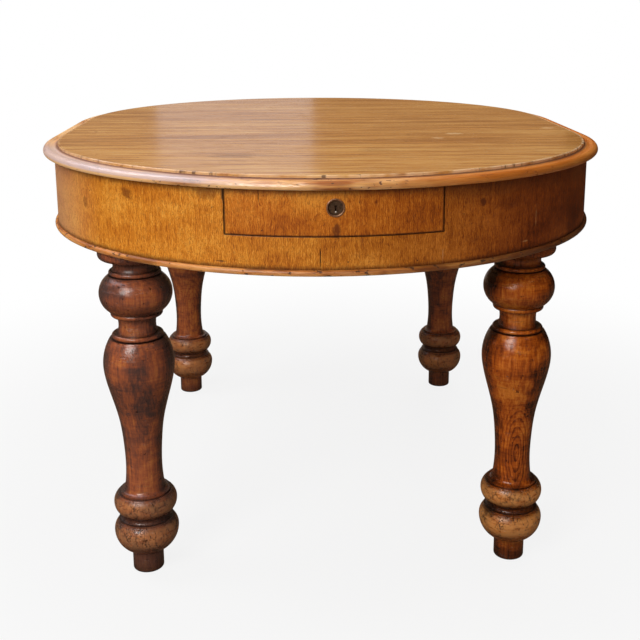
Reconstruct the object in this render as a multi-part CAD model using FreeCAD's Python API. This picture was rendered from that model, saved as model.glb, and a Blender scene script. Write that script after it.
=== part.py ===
import FreeCAD, Part
import math
import os

# An oval extending dining table on four turned legs, with a locking drawer in one end.
# Sizes are in millimetres. The origin lies on the floor under the middle of the closed table.
# X runs across the table, the drawer faces -Y, and Z points up.

# Plan and height
HEIGHT = 780.0
END_RADIUS = 547.0
STRAIGHT_RUN = 290.0
SPLIT_GAP = 0.5
EXTENSION = 1000.0

# Clearances: between pieces that slide on each other, and round glued pegs
SLIDE_FIT = 0.4
GLUE_FIT = 0.05

# Top boards and their moulded edge
TOP_THICKNESS = 20.0
BOARDS_PER_HALF = 4
FIELD_BEVEL = 1.0
EDGE_WIDTH = 27.0
FIELD_STEP = 4.5
HOLLOW_WIDTH = 13.0
HOLLOW_DEPTH = 1.5
RIDGE_DROP = 2.0
NOSE_UNDER = 6.0
LEFT_JOINT_ANGLE = 24.0
RIGHT_JOINT_ANGLE = 51.0

# Apron and bead
APRON_SETBACK = 20.0
APRON_THICKNESS = 25.0
APRON_HEIGHT = 139.0
BEAD_HEIGHT = 10.0
BEAD_PROJECTION = 6.0

# Legs: where they stand, and each turned element from the floor up
LEG_ANGLE = 48.4
LEG_INSET = 66.5
FOOT_RADIUS = 28.5
FOOT_HEIGHT = 46.0
FOOT_ROUND = 4.0
CUP_RADIUS = 59.0
CUP_BASE_RADIUS = 40.0
CUP_HEIGHT = 57.0
GROOVE_RADIUS = 43.0
GROOVE_HEIGHT = 15.0
RING_RADIUS = 57.5
RING_HEIGHT = 39.0
SHELF_RADIUS = 46.0
SHELF_HEIGHT = 4.0
COVE_HEIGHT = 8.0
WAIST_RADIUS = 33.0
BELLY_RADIUS = 63.4
ASTRAGAL_RADIUS = 46.0
ASTRAGAL_HEIGHT = 9.0
NECK_RADIUS = 33.0
NECK_HEIGHT = 32.0
BULB_RADIUS = 64.5
BULB_HEIGHT = 66.0
UPPER_NECK_RADIUS = 38.0
UPPER_NECK_HEIGHT = 20.0
COLLAR_RADIUS = 63.5
COLLAR_HEIGHT = 20.0
TENON_RADIUS = 22.0
TENON_LENGTH = 80.0
BLOCK_MARGIN = 62.0

# Drawer
DRAWER_WIDTH = 346.0
DRAWER_HEIGHT = 74.0
DRAWER_DEPTH = 400.0
DRAWER_GAP = 1.2
DRAWER_SIDE_GAP = 1.5
DRAWER_FRONT = 24.0
DRAWER_SIDE = 10.0
DRAWER_SIDE_HEIGHT = 62.0
BOTTOM_THICKNESS = 6.0
BOTTOM_LIFT = 5.0
BOTTOM_GROOVE = 4.0
TAIL_COUNT = 3
TAIL_LENGTH = 12.0
STOP_LENGTH = 25.0

# Drawer runners: an upright web and a ledge under each drawer side
WEB_THICKNESS = 17.5
LEDGE_WIDTH = 26.0
LEDGE_THICKNESS = 12.0

# Telescopic runners of the table
RUNNER_WIDTH = 29.0
RUNNER_HEIGHT = 58.0
RUNNER_GAP = 0.5
RUNNER_RELIEF = 1.0
RUNNER_END_GAP = 16.0
TONGUE_NECK = 16.0
TONGUE_END = 22.0
TONGUE_DEPTH = 9.0
GROOVE_STOP = 40.0

# Cross rails
RAIL_SETBACK = 30.0
RAIL_THICKNESS = 28.0
RAIL_HEIGHT = 56.0
RAIL_TENON = 14.0
RAIL_SHOULDER = 8.0

# Small wooden pieces
PEG_RADIUS = 5.0
PEG_LENGTH = 50.0
PEG_SPACING = 360.0
GLUE_BLOCK_LENGTH = 56.0
GLUE_BLOCK_DEPTH = 22.0
END_BLOCK_ANGLE = 14.0

# Screws
SCREW_HEAD_RADIUS = 4.2
SCREW_RADIUS = 2.2
SCREW_GRIP = 13.0
COUNTERBORE_DEPTH = 20.0

# Lock
LOCK_DROP = 30.0
RING_OUTER = 14.8
RING_INNER = 11.8
RING_DEPTH = 6.0
RING_PROUD = 1.2
PLUG_RECESS = 2.2
KEYHOLE_RADIUS = 2.0
KEYHOLE_LENGTH = 7.0
KEYHOLE_DEPTH = 5.0
PIN_RADIUS = 1.1
PIN_DROP = 6.5
CASE_WIDTH = 64.0
CASE_HEIGHT = 50.0
CASE_DEPTH = 14.0
CASE_PROUD = 2.0
BOLT_WIDTH = 28.0
BOLT_THICKNESS = 6.0
BOLT_HEIGHT = 32.0
BOLT_TRAVEL = 9.0

# Positions worked out from the sizes above
V = FreeCAD.Vector
UP = V(0, 0, 1)
HALF_STRAIGHT = STRAIGHT_RUN / 2
SPLIT_Y = -SPLIT_GAP / 2
END_CENTRE = V(0, -HALF_STRAIGHT, 0)
UNDERSIDE = HEIGHT - TOP_THICKNESS
FIELD_RADIUS = END_RADIUS - EDGE_WIDTH
APRON_RADIUS = END_RADIUS - APRON_SETBACK
APRON_INNER = APRON_RADIUS - APRON_THICKNESS
APRON_FOOT = UNDERSIDE - APRON_HEIGHT
LEG_REACH = APRON_RADIUS - LEG_INSET
LEG_X = LEG_REACH * math.sin(math.radians(LEG_ANGLE))
LEG_Y = HALF_STRAIGHT + LEG_REACH * math.cos(math.radians(LEG_ANGLE))
OPENING_HALF = DRAWER_WIDTH / 2 + DRAWER_SIDE_GAP
DRAWER_TOP = UNDERSIDE - DRAWER_GAP
DRAWER_FOOT = DRAWER_TOP - DRAWER_HEIGHT
DRAWER_FACE = -HALF_STRAIGHT - APRON_RADIUS
DRAWER_INNER = APRON_RADIUS - DRAWER_FRONT
DRAWER_REAR = DRAWER_FACE + DRAWER_DEPTH
SIDE_OUTER = DRAWER_WIDTH / 2 - 1.0
SIDE_INNER = SIDE_OUTER - DRAWER_SIDE
LEDGE_TOP = DRAWER_FOOT - SLIDE_FIT
FRONT_RUNNER_X = OPENING_HALF + WEB_THICKNESS
MIDDLE_RUNNER_X = FRONT_RUNNER_X + RUNNER_WIDTH + RUNNER_GAP
BACK_RUNNER_X = MIDDLE_RUNNER_X + RUNNER_WIDTH + RUNNER_GAP
RUNNERS_OUTER = BACK_RUNNER_X + RUNNER_WIDTH
RUNNER_HALF = HALF_STRAIGHT + math.sqrt(APRON_INNER**2 - RUNNERS_OUTER**2) - RUNNER_END_GAP
RUNNER_FOOT = UNDERSIDE - RUNNER_HEIGHT
TONGUE_Z = UNDERSIDE - RUNNER_HEIGHT / 2
TONGUE_START = -RUNNER_HALF + GROOVE_STOP + EXTENSION / 2 + RUNNER_RELIEF
BLOCK_X = max(LEG_X - BLOCK_MARGIN, RUNNERS_OUTER + 3.0)
BLOCK_Y = LEG_Y - BLOCK_MARGIN
LOCK_Z = UNDERSIDE - LOCK_DROP
CASE_REAR = -HALF_STRAIGHT - DRAWER_INNER + CASE_PROUD
CASE_FRONT = CASE_REAR - CASE_DEPTH
BOLT_Y = CASE_REAR - CASE_DEPTH / 2 + 1.5
BOLT_TOP = DRAWER_TOP - 2.0


def box(x0, x1, y0, y1, z0, z1):
    """A block between two corners."""
    return Part.makeBox(x1 - x0, y1 - y0, z1 - z0, V(x0, y0, z0))


def rod(radius, start, finish):
    """A round bar between two points."""
    return Part.makeCylinder(radius, (finish - start).Length, start, finish - start)


def prism(corners, along):
    """A straight prism on a flat polygon."""
    return Part.Face(Part.makePolygon(corners + corners[:1])).extrude(along)


def turned_about(shape, centre, angle):
    """A copy of a shape turned about an upright line."""
    copy = shape.copy()
    copy.rotate(centre, UP, angle)
    return copy


def to_back(shape):
    """The same shape on the back half, half a turn round the middle of the table."""
    return turned_about(shape, V(0, 0, 0), 180)


def mirrored(shape):
    """The same shape on the left side."""
    return shape.mirror(V(0, 0, 0), V(1, 0, 0))


def group(shapes):
    """Several separate solids kept together."""
    return Part.makeCompound(shapes)


def both_sides(shapes):
    """Solids of the right side together with the same solids on the left."""
    return group(shapes + [mirrored(shape) for shape in shapes])


def half_plan(radius, low, high):
    """The front half of the oval plan with the given end radius, as a slab between two heights."""
    left_split = V(-radius, SPLIT_Y, low)
    left_turn = V(-radius, -HALF_STRAIGHT, low)
    tip = V(0, -HALF_STRAIGHT - radius, low)
    right_turn = V(radius, -HALF_STRAIGHT, low)
    right_split = V(radius, SPLIT_Y, low)
    edges = [
        Part.makeLine(left_split, left_turn),
        Part.Arc(left_turn, tip, right_turn).toShape(),
        Part.makeLine(right_turn, right_split),
        Part.makeLine(right_split, left_split),
    ]
    return Part.Face(Part.Wire(edges)).extrude(V(0, 0, high - low))


def half_ring(outer, inner, low, high):
    """The wall between two half plans."""
    return half_plan(outer, low, high).cut(half_plan(inner, low, high))


def bent_strip(profile, start, finish):
    """A profile carried round the end between two angles from its middle, right side positive.

    A strip that starts or ends at a quarter turn runs on along the straight side to the split.
    """
    run = V(0, HALF_STRAIGHT + SPLIT_Y, 0)
    strip = turned_about(profile, END_CENTRE, start - 90).revolve(END_CENTRE, UP, finish - start)
    if start == -90:
        strip = strip.fuse(turned_about(profile, END_CENTRE, 180).extrude(run))
    if finish == 90:
        strip = strip.fuse(profile.extrude(run))
    return strip.removeSplitter().Solids[0]


class Outline:
    """Half the outline of a turned or moulded piece; each point is a radius and a height."""

    def __init__(self, radius, height, depth=0.0):
        self.depth = depth
        self.first = V(radius, depth, height)
        self.here = self.first
        self.edges = []

    def line(self, radius, height):
        there = V(radius, self.depth, height)
        self.edges.append(Part.makeLine(self.here, there))
        self.here = there

    def arc(self, middle_radius, middle_height, radius, height):
        there = V(radius, self.depth, height)
        middle = V(middle_radius, self.depth, middle_height)
        self.edges.append(Part.Arc(self.here, middle, there).toShape())
        self.here = there

    def crest_middle(self, point, crest):
        """The middle of an arc that leaves its crest straight up or down."""
        reach = crest.x - point.x
        rise = crest.z - point.z
        bend = (reach**2 + rise**2) / (2 * reach)
        half = math.atan2(abs(rise), abs(bend) - abs(reach)) / 2
        drop = math.copysign(abs(bend) * math.sin(half), rise)
        return crest.x - bend + bend * math.cos(half), crest.z - drop

    def rise_to_crest(self, radius, height):
        crest = V(radius, self.depth, height)
        middle = self.crest_middle(self.here, crest)
        self.arc(middle[0], middle[1], radius, height)

    def fall_from_crest(self, radius, height):
        middle = self.crest_middle(V(radius, self.depth, height), self.here)
        self.arc(middle[0], middle[1], radius, height)

    def swell(self, crest_radius, crest_height, radius, height):
        """Two arcs that meet upright at a crest: a swelling, or a hollow where the crest lies inside."""
        self.rise_to_crest(crest_radius, crest_height)
        self.fall_from_crest(radius, height)

    def curve(self, points):
        spline = Part.BSplineCurve()
        there = [V(radius, self.depth, height) for radius, height in points]
        spline.interpolate([self.here] + there)
        self.edges.append(spline.toShape())
        self.here = there[-1]

    def face(self):
        self.line(self.first.x, self.first.z)
        return Part.Face(Part.Wire(self.edges))


def screw_blank(length):
    """A countersunk wood screw that points up, with its head at the origin."""
    outline = Outline(0, 0)
    outline.line(SCREW_HEAD_RADIUS, 0)
    outline.line(SCREW_RADIUS, SCREW_HEAD_RADIUS - SCREW_RADIUS)
    outline.line(SCREW_RADIUS, length - 3 * SCREW_RADIUS)
    outline.line(0, length)
    return outline.face().revolve(V(0, 0, 0), UP, 360)


def screw_slot():
    """The driver slot across a screw head."""
    return box(-SCREW_HEAD_RADIUS - 1, SCREW_HEAD_RADIUS + 1, -0.5, 0.5, -1, 1.1)


def placed(shape, position, direction):
    """A copy of an upward shape, moved to a point and turned to point along a direction."""
    copy = shape.copy()
    copy.Placement = FreeCAD.Placement(position, FreeCAD.Rotation(UP, direction))
    return copy


def runner_screw_places(x):
    """Where the screws of a runner on the right of the front half start, inside their counterbores."""
    z = RUNNER_FOOT + COUNTERBORE_DEPTH
    spacing = (RUNNER_HALF - RAIL_SETBACK - RAIL_THICKNESS) / 3
    return [V(x, -RUNNER_HALF + spacing * (step + 0.2), z) for step in range(3)]


def runner_screw_length():
    return RUNNER_HEIGHT - COUNTERBORE_DEPTH + SCREW_GRIP


def runner_screw_blanks(x):
    blank = screw_blank(runner_screw_length())
    return [placed(blank, place, UP) for place in runner_screw_places(x)]


def runner_screws(x):
    """Slotted screws that hold one runner up against the top."""
    screw = screw_blank(runner_screw_length()).cut(screw_slot())
    return [placed(screw, place, UP) for place in runner_screw_places(x)]


def counterbores(x):
    """The holes that let the runner screws and a driver in from below."""
    bore = SCREW_HEAD_RADIUS + 0.8
    return [rod(bore, V(place.x, place.y, RUNNER_FOOT - 1), place) for place in runner_screw_places(x)]


def peg_places():
    return [V(x, SPLIT_Y, HEIGHT - TOP_THICKNESS / 2) for x in (-PEG_SPACING, 0, PEG_SPACING)]


def peg_bars(radius, reach):
    """Round bars through the split, reaching equally into both halves."""
    return [rod(radius, place - V(0, reach, 0), place + V(0, reach, 0)) for place in peg_places()]


def field_boards(holes):
    """The flat middle of one half top, bevelled along its outer arris and cut into boards."""
    field = half_plan(FIELD_RADIUS, UNDERSIDE, HEIGHT)
    arris = []
    for edge in field.Edges:
        level = edge.BoundBox.ZMin > HEIGHT - 0.01
        at_split = edge.BoundBox.YMin > SPLIT_Y - 0.01
        if level and not at_split:
            arris.append(edge)
    field = field.makeChamfer(FIELD_BEVEL, arris).cut(holes)
    depth = HALF_STRAIGHT + FIELD_RADIUS + SPLIT_Y
    width = depth / BOARDS_PER_HALF
    boards = []
    for step in range(BOARDS_PER_HALF):
        near = SPLIT_Y - step * width
        slab = box(-END_RADIUS, END_RADIUS, near - width, near, UNDERSIDE - 1, HEIGHT + 1)
        boards.append(field.common(slab).Solids[0])
    return group(boards)


def bolt_mortise():
    """The slot in the underside of the top that the lock bolt rises into."""
    half = BOLT_WIDTH / 2 + 1
    y = BOLT_THICKNESS / 2 + 1
    top = BOLT_TOP + BOLT_TRAVEL + 2
    return box(-half, half, BOLT_Y - y, BOLT_Y + y, UNDERSIDE - 1, top)


def front_top_boards():
    screws = runner_screw_blanks(FRONT_RUNNER_X + RUNNER_WIDTH / 2)
    holes = screws + [mirrored(screw) for screw in screws]
    holes += peg_bars(PEG_RADIUS + GLUE_FIT, PEG_LENGTH / 2)
    return field_boards(holes + [bolt_mortise()])


def back_top_boards():
    screws = runner_screw_blanks(BACK_RUNNER_X + RUNNER_WIDTH / 2)
    holes = screws + [mirrored(screw) for screw in screws]
    holes += peg_bars(PEG_RADIUS + SLIDE_FIT, PEG_LENGTH / 2 + 1)
    return to_back(field_boards(holes))


def alignment_pegs():
    """Pegs glued into the front half that enter the back half when the table is closed."""
    return group(peg_bars(PEG_RADIUS, PEG_LENGTH / 2))


def edge_profile():
    """The section of the moulded edge: a hollow that runs into a round nose, widest low down."""
    lip = HEIGHT - FIELD_STEP
    ridge = lip - RIDGE_DROP
    hollow_end = FIELD_RADIUS + HOLLOW_WIDTH
    widest = UNDERSIDE + NOSE_UNDER
    reach = END_RADIUS - hollow_end
    rise = ridge - widest
    curve = (reach**2 + rise**2) / (2 * reach)
    centre = END_RADIUS - curve
    half_turn = math.atan2(rise, hollow_end - centre) / 2
    under = NOSE_UNDER * (1 - math.sqrt(0.5))
    outline = Outline(FIELD_RADIUS, UNDERSIDE, -HALF_STRAIGHT)
    outline.line(FIELD_RADIUS, lip)
    outline.arc((FIELD_RADIUS + hollow_end) / 2, (lip + ridge) / 2 - HOLLOW_DEPTH, hollow_end, ridge)
    outline.arc(centre + curve * math.cos(half_turn), widest + curve * math.sin(half_turn), END_RADIUS, widest)
    outline.arc(END_RADIUS - under, UNDERSIDE + under, END_RADIUS - NOSE_UNDER, UNDERSIDE)
    return outline.face()


def edge_lengths():
    """The moulded edge of the front half in three lengths: left, middle and right."""
    profile = edge_profile()
    cuts = (-90, -LEFT_JOINT_ANGLE, RIGHT_JOINT_ANGLE, 90)
    return [bent_strip(profile, cuts[step], cuts[step + 1]) for step in range(3)]


def drawer_opening():
    """The space in the front apron for the drawer, open at the top."""
    back = -HALF_STRAIGHT - math.sqrt(APRON_INNER**2 - OPENING_HALF**2) + 10
    sill = DRAWER_FOOT - DRAWER_GAP
    return box(-OPENING_HALF, OPENING_HALF, DRAWER_FACE - 10, back, sill, UNDERSIDE + 1)


def plain_apron():
    """The curved rail of one half, mortised for its cross rail."""
    return half_ring(APRON_RADIUS, APRON_INNER, APRON_FOOT, UNDERSIDE).cut(cross_rail())


def front_apron():
    return plain_apron().cut(drawer_opening())


def back_apron():
    return to_back(plain_apron())


def bead():
    """The half-round moulding along the foot of the front apron."""
    outline = Outline(APRON_RADIUS, APRON_FOOT, -HALF_STRAIGHT)
    middle = APRON_FOOT + BEAD_HEIGHT / 2
    outline.arc(APRON_RADIUS + BEAD_PROJECTION, middle, APRON_RADIUS, APRON_FOOT + BEAD_HEIGHT)
    return bent_strip(outline.face(), -90, 90)


def vase_points(low, high):
    """The long vase of the leg: a slim waist, a full belly high up and a short shoulder."""
    swell = BELLY_RADIUS - WAIST_RADIUS
    shape = (
        (0.12, 0.00),
        (0.29, 0.05),
        (0.46, 0.24),
        (0.61, 0.59),
        (0.74, 0.90),
        (0.83, 1.00),
        (0.92, 0.88),
        (1.00, 0.55),
    )
    return [(WAIST_RADIUS + swell * out, low + (high - low) * up) for up, out in shape]


def leg_outline():
    """The turned outline of a leg, from the foot on the floor to the tenon in the corner block."""
    outline = Outline(0, 0)
    outline.line(FOOT_RADIUS - FOOT_ROUND, 0)
    outline.rise_to_crest(FOOT_RADIUS, FOOT_ROUND)
    outline.line(FOOT_RADIUS, FOOT_HEIGHT)

    cup_top = FOOT_HEIGHT + CUP_HEIGHT
    cup_end = CUP_RADIUS - 9
    outline.line(CUP_BASE_RADIUS, FOOT_HEIGHT)
    outline.swell(CUP_RADIUS, FOOT_HEIGHT + CUP_HEIGHT * 0.67, cup_end, cup_top)

    groove_top = cup_top + GROOVE_HEIGHT
    lip = GROOVE_RADIUS + 5
    outline.line(cup_end, cup_top + 3)
    outline.line(lip, cup_top + 3)
    outline.swell(GROOVE_RADIUS, cup_top + GROOVE_HEIGHT * 0.6, lip, groove_top)

    ring_top = groove_top + RING_HEIGHT
    outline.swell(RING_RADIUS, groove_top + RING_HEIGHT * 0.55, SHELF_RADIUS + 4, ring_top)
    outline.line(SHELF_RADIUS, ring_top)
    outline.line(SHELF_RADIUS, ring_top + SHELF_HEIGHT)
    vase_low = ring_top + SHELF_HEIGHT + COVE_HEIGHT
    outline.rise_to_crest(WAIST_RADIUS + 3, vase_low)

    collar_low = APRON_FOOT - COLLAR_HEIGHT
    upper_neck_low = collar_low - UPPER_NECK_HEIGHT
    bulb_top = upper_neck_low - ASTRAGAL_HEIGHT
    bulb_low = bulb_top - BULB_HEIGHT
    neck_top = bulb_low - ASTRAGAL_HEIGHT
    neck_low = neck_top - NECK_HEIGHT
    vase_top = neck_low - ASTRAGAL_HEIGHT
    small_ring = ASTRAGAL_RADIUS - 2.5
    outline.curve(vase_points(vase_low, vase_top))

    outline.line(small_ring, vase_top)
    outline.swell(ASTRAGAL_RADIUS, vase_top + ASTRAGAL_HEIGHT / 2, small_ring, neck_low)
    outline.line(NECK_RADIUS + 2.5, neck_low)
    outline.swell(NECK_RADIUS, neck_low + NECK_HEIGHT / 2, NECK_RADIUS + 2.5, neck_top)
    outline.line(small_ring, neck_top)
    outline.swell(ASTRAGAL_RADIUS, neck_top + ASTRAGAL_HEIGHT / 2, small_ring, bulb_low)

    bulb_end = ASTRAGAL_RADIUS + 1
    outline.line(bulb_end, bulb_low)
    outline.swell(BULB_RADIUS, bulb_low + BULB_HEIGHT / 2, bulb_end, bulb_top)
    outline.line(small_ring, bulb_top)
    outline.swell(ASTRAGAL_RADIUS, bulb_top + ASTRAGAL_HEIGHT / 2, small_ring, upper_neck_low)

    outline.line(UPPER_NECK_RADIUS + 3, upper_neck_low)
    flare = UPPER_NECK_RADIUS + 8
    outline.swell(UPPER_NECK_RADIUS, upper_neck_low + UPPER_NECK_HEIGHT * 0.4, flare, collar_low)
    outline.line(COLLAR_RADIUS - 11, collar_low)
    outline.rise_to_crest(COLLAR_RADIUS, collar_low + COLLAR_HEIGHT * 0.5)
    outline.line(COLLAR_RADIUS, APRON_FOOT)
    outline.line(TENON_RADIUS, APRON_FOOT)
    outline.line(TENON_RADIUS, APRON_FOOT + TENON_LENGTH)
    outline.line(0, APRON_FOOT + TENON_LENGTH)
    return outline.face()


def leg():
    """The right front leg."""
    turning = leg_outline().revolve(V(0, 0, 0), UP, 360)
    turning.translate(V(LEG_X, -LEG_Y, 0))
    return turning


def leg_block():
    """The right front corner block, fitted to the curve of the apron and bored for the leg tenon."""
    corner = box(BLOCK_X, END_RADIUS, -HALF_STRAIGHT - END_RADIUS, -BLOCK_Y, APRON_FOOT, UNDERSIDE)
    block = half_plan(APRON_INNER, APRON_FOOT, UNDERSIDE).common(corner)
    base = V(LEG_X, -LEG_Y, APRON_FOOT)
    hole = rod(TENON_RADIUS + GLUE_FIT, base - V(0, 0, 1), base + V(0, 0, TENON_LENGTH + 1))
    return block.cut(hole).Solids[0]


def cross_rail():
    """The rail that ties the ends of the front apron and carries the runners."""
    low = RUNNER_FOOT - RAIL_HEIGHT
    near = -RAIL_SETBACK - RAIL_THICKNESS
    rail = box(-APRON_INNER, APRON_INNER, near, -RAIL_SETBACK, low, RUNNER_FOOT)
    tenon = box(
        -APRON_INNER - RAIL_TENON,
        APRON_INNER + RAIL_TENON,
        near + RAIL_SHOULDER,
        -RAIL_SETBACK - RAIL_SHOULDER,
        low + RAIL_SHOULDER,
        RUNNER_FOOT - RAIL_SHOULDER,
    )
    return rail.fuse(tenon).removeSplitter().Solids[0]


def dovetail(root_x, way, depth, spare, y0, y1):
    """A dovetail bar that widens away from its root face; spare widens it all round for a groove."""
    slope = (TONGUE_END - TONGUE_NECK) / 2 / TONGUE_DEPTH
    root = TONGUE_NECK / 2 + spare
    tip = root + slope * depth
    corners = [
        V(root_x, y0, TONGUE_Z - root),
        V(root_x + way * depth, y0, TONGUE_Z - tip),
        V(root_x + way * depth, y0, TONGUE_Z + tip),
        V(root_x, y0, TONGUE_Z + root),
    ]
    return prism(corners, V(0, y1 - y0, 0))


def runner_bar(x, own_low, own_high, far_low, far_high):
    """A bar that fills its height under its own half and is eased top and bottom under the other."""
    own = box(x, x + RUNNER_WIDTH, own_low, own_high, RUNNER_FOOT, UNDERSIDE)
    low = RUNNER_FOOT + RUNNER_RELIEF
    far = box(x, x + RUNNER_WIDTH, far_low, far_high, low, UNDERSIDE - RUNNER_RELIEF)
    return own.fuse(far)


def front_runner():
    """The right runner fixed to the front half, with a tongue along the part that stays in its groove."""
    x = FRONT_RUNNER_X
    ease = -RAIL_SETBACK / 2
    bar = runner_bar(x, -RUNNER_HALF, ease, ease, RUNNER_HALF)
    tongue = dovetail(x + RUNNER_WIDTH, 1, TONGUE_DEPTH, 0, TONGUE_START, RUNNER_HALF)
    centre = x + RUNNER_WIDTH / 2
    bar = bar.fuse(tongue).removeSplitter()
    holes = runner_screw_blanks(centre) + counterbores(centre) + web_screw_blanks()
    return bar.cut(holes).Solids[0]


def back_runner():
    """The right runner fixed to the back half."""
    x = BACK_RUNNER_X
    ease = RAIL_SETBACK / 2
    bar = runner_bar(x, ease, RUNNER_HALF, -RUNNER_HALF, ease)
    tongue = dovetail(x, -1, TONGUE_DEPTH, 0, -RUNNER_HALF, -TONGUE_START)
    centre = x + RUNNER_WIDTH / 2
    bar = bar.fuse(tongue).removeSplitter()
    holes = [mirrored(to_back(hole)) for hole in runner_screw_blanks(centre) + counterbores(centre)]
    return bar.cut(holes).Solids[0]


def middle_runner():
    """The right middle runner, grooved on both faces; each groove is stopped at one end."""
    x = MIDDLE_RUNNER_X
    low = RUNNER_FOOT + RUNNER_RELIEF
    bar = box(x, x + RUNNER_WIDTH, -RUNNER_HALF, RUNNER_HALF, low, UNDERSIDE - RUNNER_RELIEF)
    depth = TONGUE_DEPTH + RUNNER_GAP
    stop = RUNNER_HALF - GROOVE_STOP
    inner = dovetail(x - RUNNER_GAP, 1, depth, SLIDE_FIT, -stop, RUNNER_HALF + 1)
    outer = dovetail(x + RUNNER_WIDTH + RUNNER_GAP, -1, depth, SLIDE_FIT, -RUNNER_HALF - 1, stop)
    return bar.cut([inner, outer]).Solids[0]


def web_screw_places():
    """Where the screws of the right drawer runner start, on the face of its web."""
    first = DRAWER_REAR - DRAWER_DEPTH * 0.5
    spacing = DRAWER_DEPTH * 0.2
    return [V(OPENING_HALF, first + spacing * step, TONGUE_Z) for step in range(3)]


def web_screw_blanks():
    blank = screw_blank(WEB_THICKNESS + SCREW_GRIP)
    return [placed(blank, place, V(1, 0, 0)) for place in web_screw_places()]


def web_screws():
    """Slotted screws that hold the right drawer runner to the table runner."""
    screw = screw_blank(WEB_THICKNESS + SCREW_GRIP).cut(screw_slot())
    return [placed(screw, place, V(1, 0, 0)) for place in web_screw_places()]


def drawer_runner():
    """The right drawer runner: a web on the table runner and a ledge that butts on the apron."""
    rear = DRAWER_REAR + STOP_LENGTH
    front = DRAWER_FACE
    low = LEDGE_TOP - LEDGE_THICKNESS
    web = box(OPENING_HALF, FRONT_RUNNER_X, front, rear, low, UNDERSIDE - RUNNER_RELIEF)
    ledge = box(OPENING_HALF - LEDGE_WIDTH, FRONT_RUNNER_X, front, rear, low, LEDGE_TOP)
    strip = web.fuse(ledge).removeSplitter()
    return strip.common(half_plan(APRON_INNER, low, UNDERSIDE)).cut(web_screw_blanks()).Solids[0]


def drawer_stop():
    """The right stop block on the ledge behind the drawer."""
    inner = OPENING_HALF - LEDGE_WIDTH
    near = DRAWER_REAR + SLIDE_FIT
    return box(inner, OPENING_HALF, near, DRAWER_REAR + STOP_LENGTH, LEDGE_TOP, LEDGE_TOP + STOP_LENGTH)


def side_block_angles():
    """Two places between each corner block and the end of the curve."""
    first = math.degrees(math.acos((BLOCK_Y - HALF_STRAIGHT) / APRON_INNER))
    return [first + (90 - first) * part for part in (0.25, 0.75)]


def corner_block_angle():
    """The place between the drawer runner and the corner block."""
    return math.degrees(math.asin((FRONT_RUNNER_X + BLOCK_X) / 2 / APRON_INNER))


def glue_blocks(angles):
    """Blocks glued under the top against the inside of the front apron, alike on both sides."""
    inside = half_plan(APRON_INNER, APRON_FOOT, UNDERSIDE)
    half = GLUE_BLOCK_LENGTH / 2
    deep = APRON_INNER - GLUE_BLOCK_DEPTH
    low = UNDERSIDE - GLUE_BLOCK_DEPTH
    stick = box(deep, END_RADIUS, -HALF_STRAIGHT - half, -HALF_STRAIGHT + half, low, UNDERSIDE)
    straight = stick.copy()
    straight.translate(V(0, HALF_STRAIGHT * 0.45, 0))
    sticks = [straight]
    for angle in angles:
        sticks.append(turned_about(stick, END_CENTRE, angle - 90))
    return both_sides([stick.common(inside).Solids[0] for stick in sticks])


def front_glue_blocks():
    return glue_blocks(side_block_angles() + [corner_block_angle()])


def back_glue_blocks():
    return to_back(glue_blocks(side_block_angles() + [END_BLOCK_ANGLE]))


def drawer_bottom():
    """The thin bottom, let into the front and sides and passing under the back."""
    half = SIDE_INNER + BOTTOM_GROOVE
    low = DRAWER_FOOT + BOTTOM_LIFT
    panel = box(-half, half, DRAWER_FACE, DRAWER_REAR, low, low + BOTTOM_THICKNESS)
    return panel.common(half_plan(DRAWER_INNER + BOTTOM_GROOVE, low, low + BOTTOM_THICKNESS)).Solids[0]


def drawer_back():
    """The back of the drawer, housed in its sides and standing on the bottom."""
    half = SIDE_INNER + BOTTOM_GROOVE
    low = DRAWER_FOOT + BOTTOM_LIFT + BOTTOM_THICKNESS
    high = DRAWER_FOOT + DRAWER_SIDE_HEIGHT - 4
    rear = DRAWER_REAR - DRAWER_SIDE
    return box(-half, half, rear - DRAWER_SIDE, rear, low, high)


def dovetailed_side():
    """The right side of the drawer before it is grooved, with tails for the drawer front."""
    high = DRAWER_FOOT + DRAWER_SIDE_HEIGHT
    side = box(SIDE_INNER, SIDE_OUTER, DRAWER_FACE, DRAWER_REAR, DRAWER_FOOT, high)
    side = side.common(half_plan(DRAWER_INNER, DRAWER_FOOT, high))
    root = -HALF_STRAIGHT - math.sqrt(DRAWER_INNER**2 - SIDE_OUTER**2) + 1
    tip = root - TAIL_LENGTH - 2
    pitch = DRAWER_SIDE_HEIGHT / TAIL_COUNT
    for step in range(TAIL_COUNT):
        middle = DRAWER_FOOT + pitch * (step + 0.5)
        corners = [
            V(SIDE_INNER, root, middle - pitch * 0.30),
            V(SIDE_INNER, tip, middle - pitch * 0.42),
            V(SIDE_INNER, tip, middle + pitch * 0.42),
            V(SIDE_INNER, root, middle + pitch * 0.30),
        ]
        side = side.fuse(prism(corners, V(DRAWER_SIDE, 0, 0)))
    return side.removeSplitter()


def drawer_side():
    return dovetailed_side().cut([drawer_bottom(), drawer_back()]).Solids[0]


def lock_axis(y):
    return V(0, y, LOCK_Z)


def lock_case_block():
    """The outside of the lock case, open to the top edge of the drawer front."""
    half = CASE_WIDTH / 2
    return box(-half, half, CASE_FRONT, CASE_REAR, DRAWER_TOP - CASE_HEIGHT, DRAWER_TOP)


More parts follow.
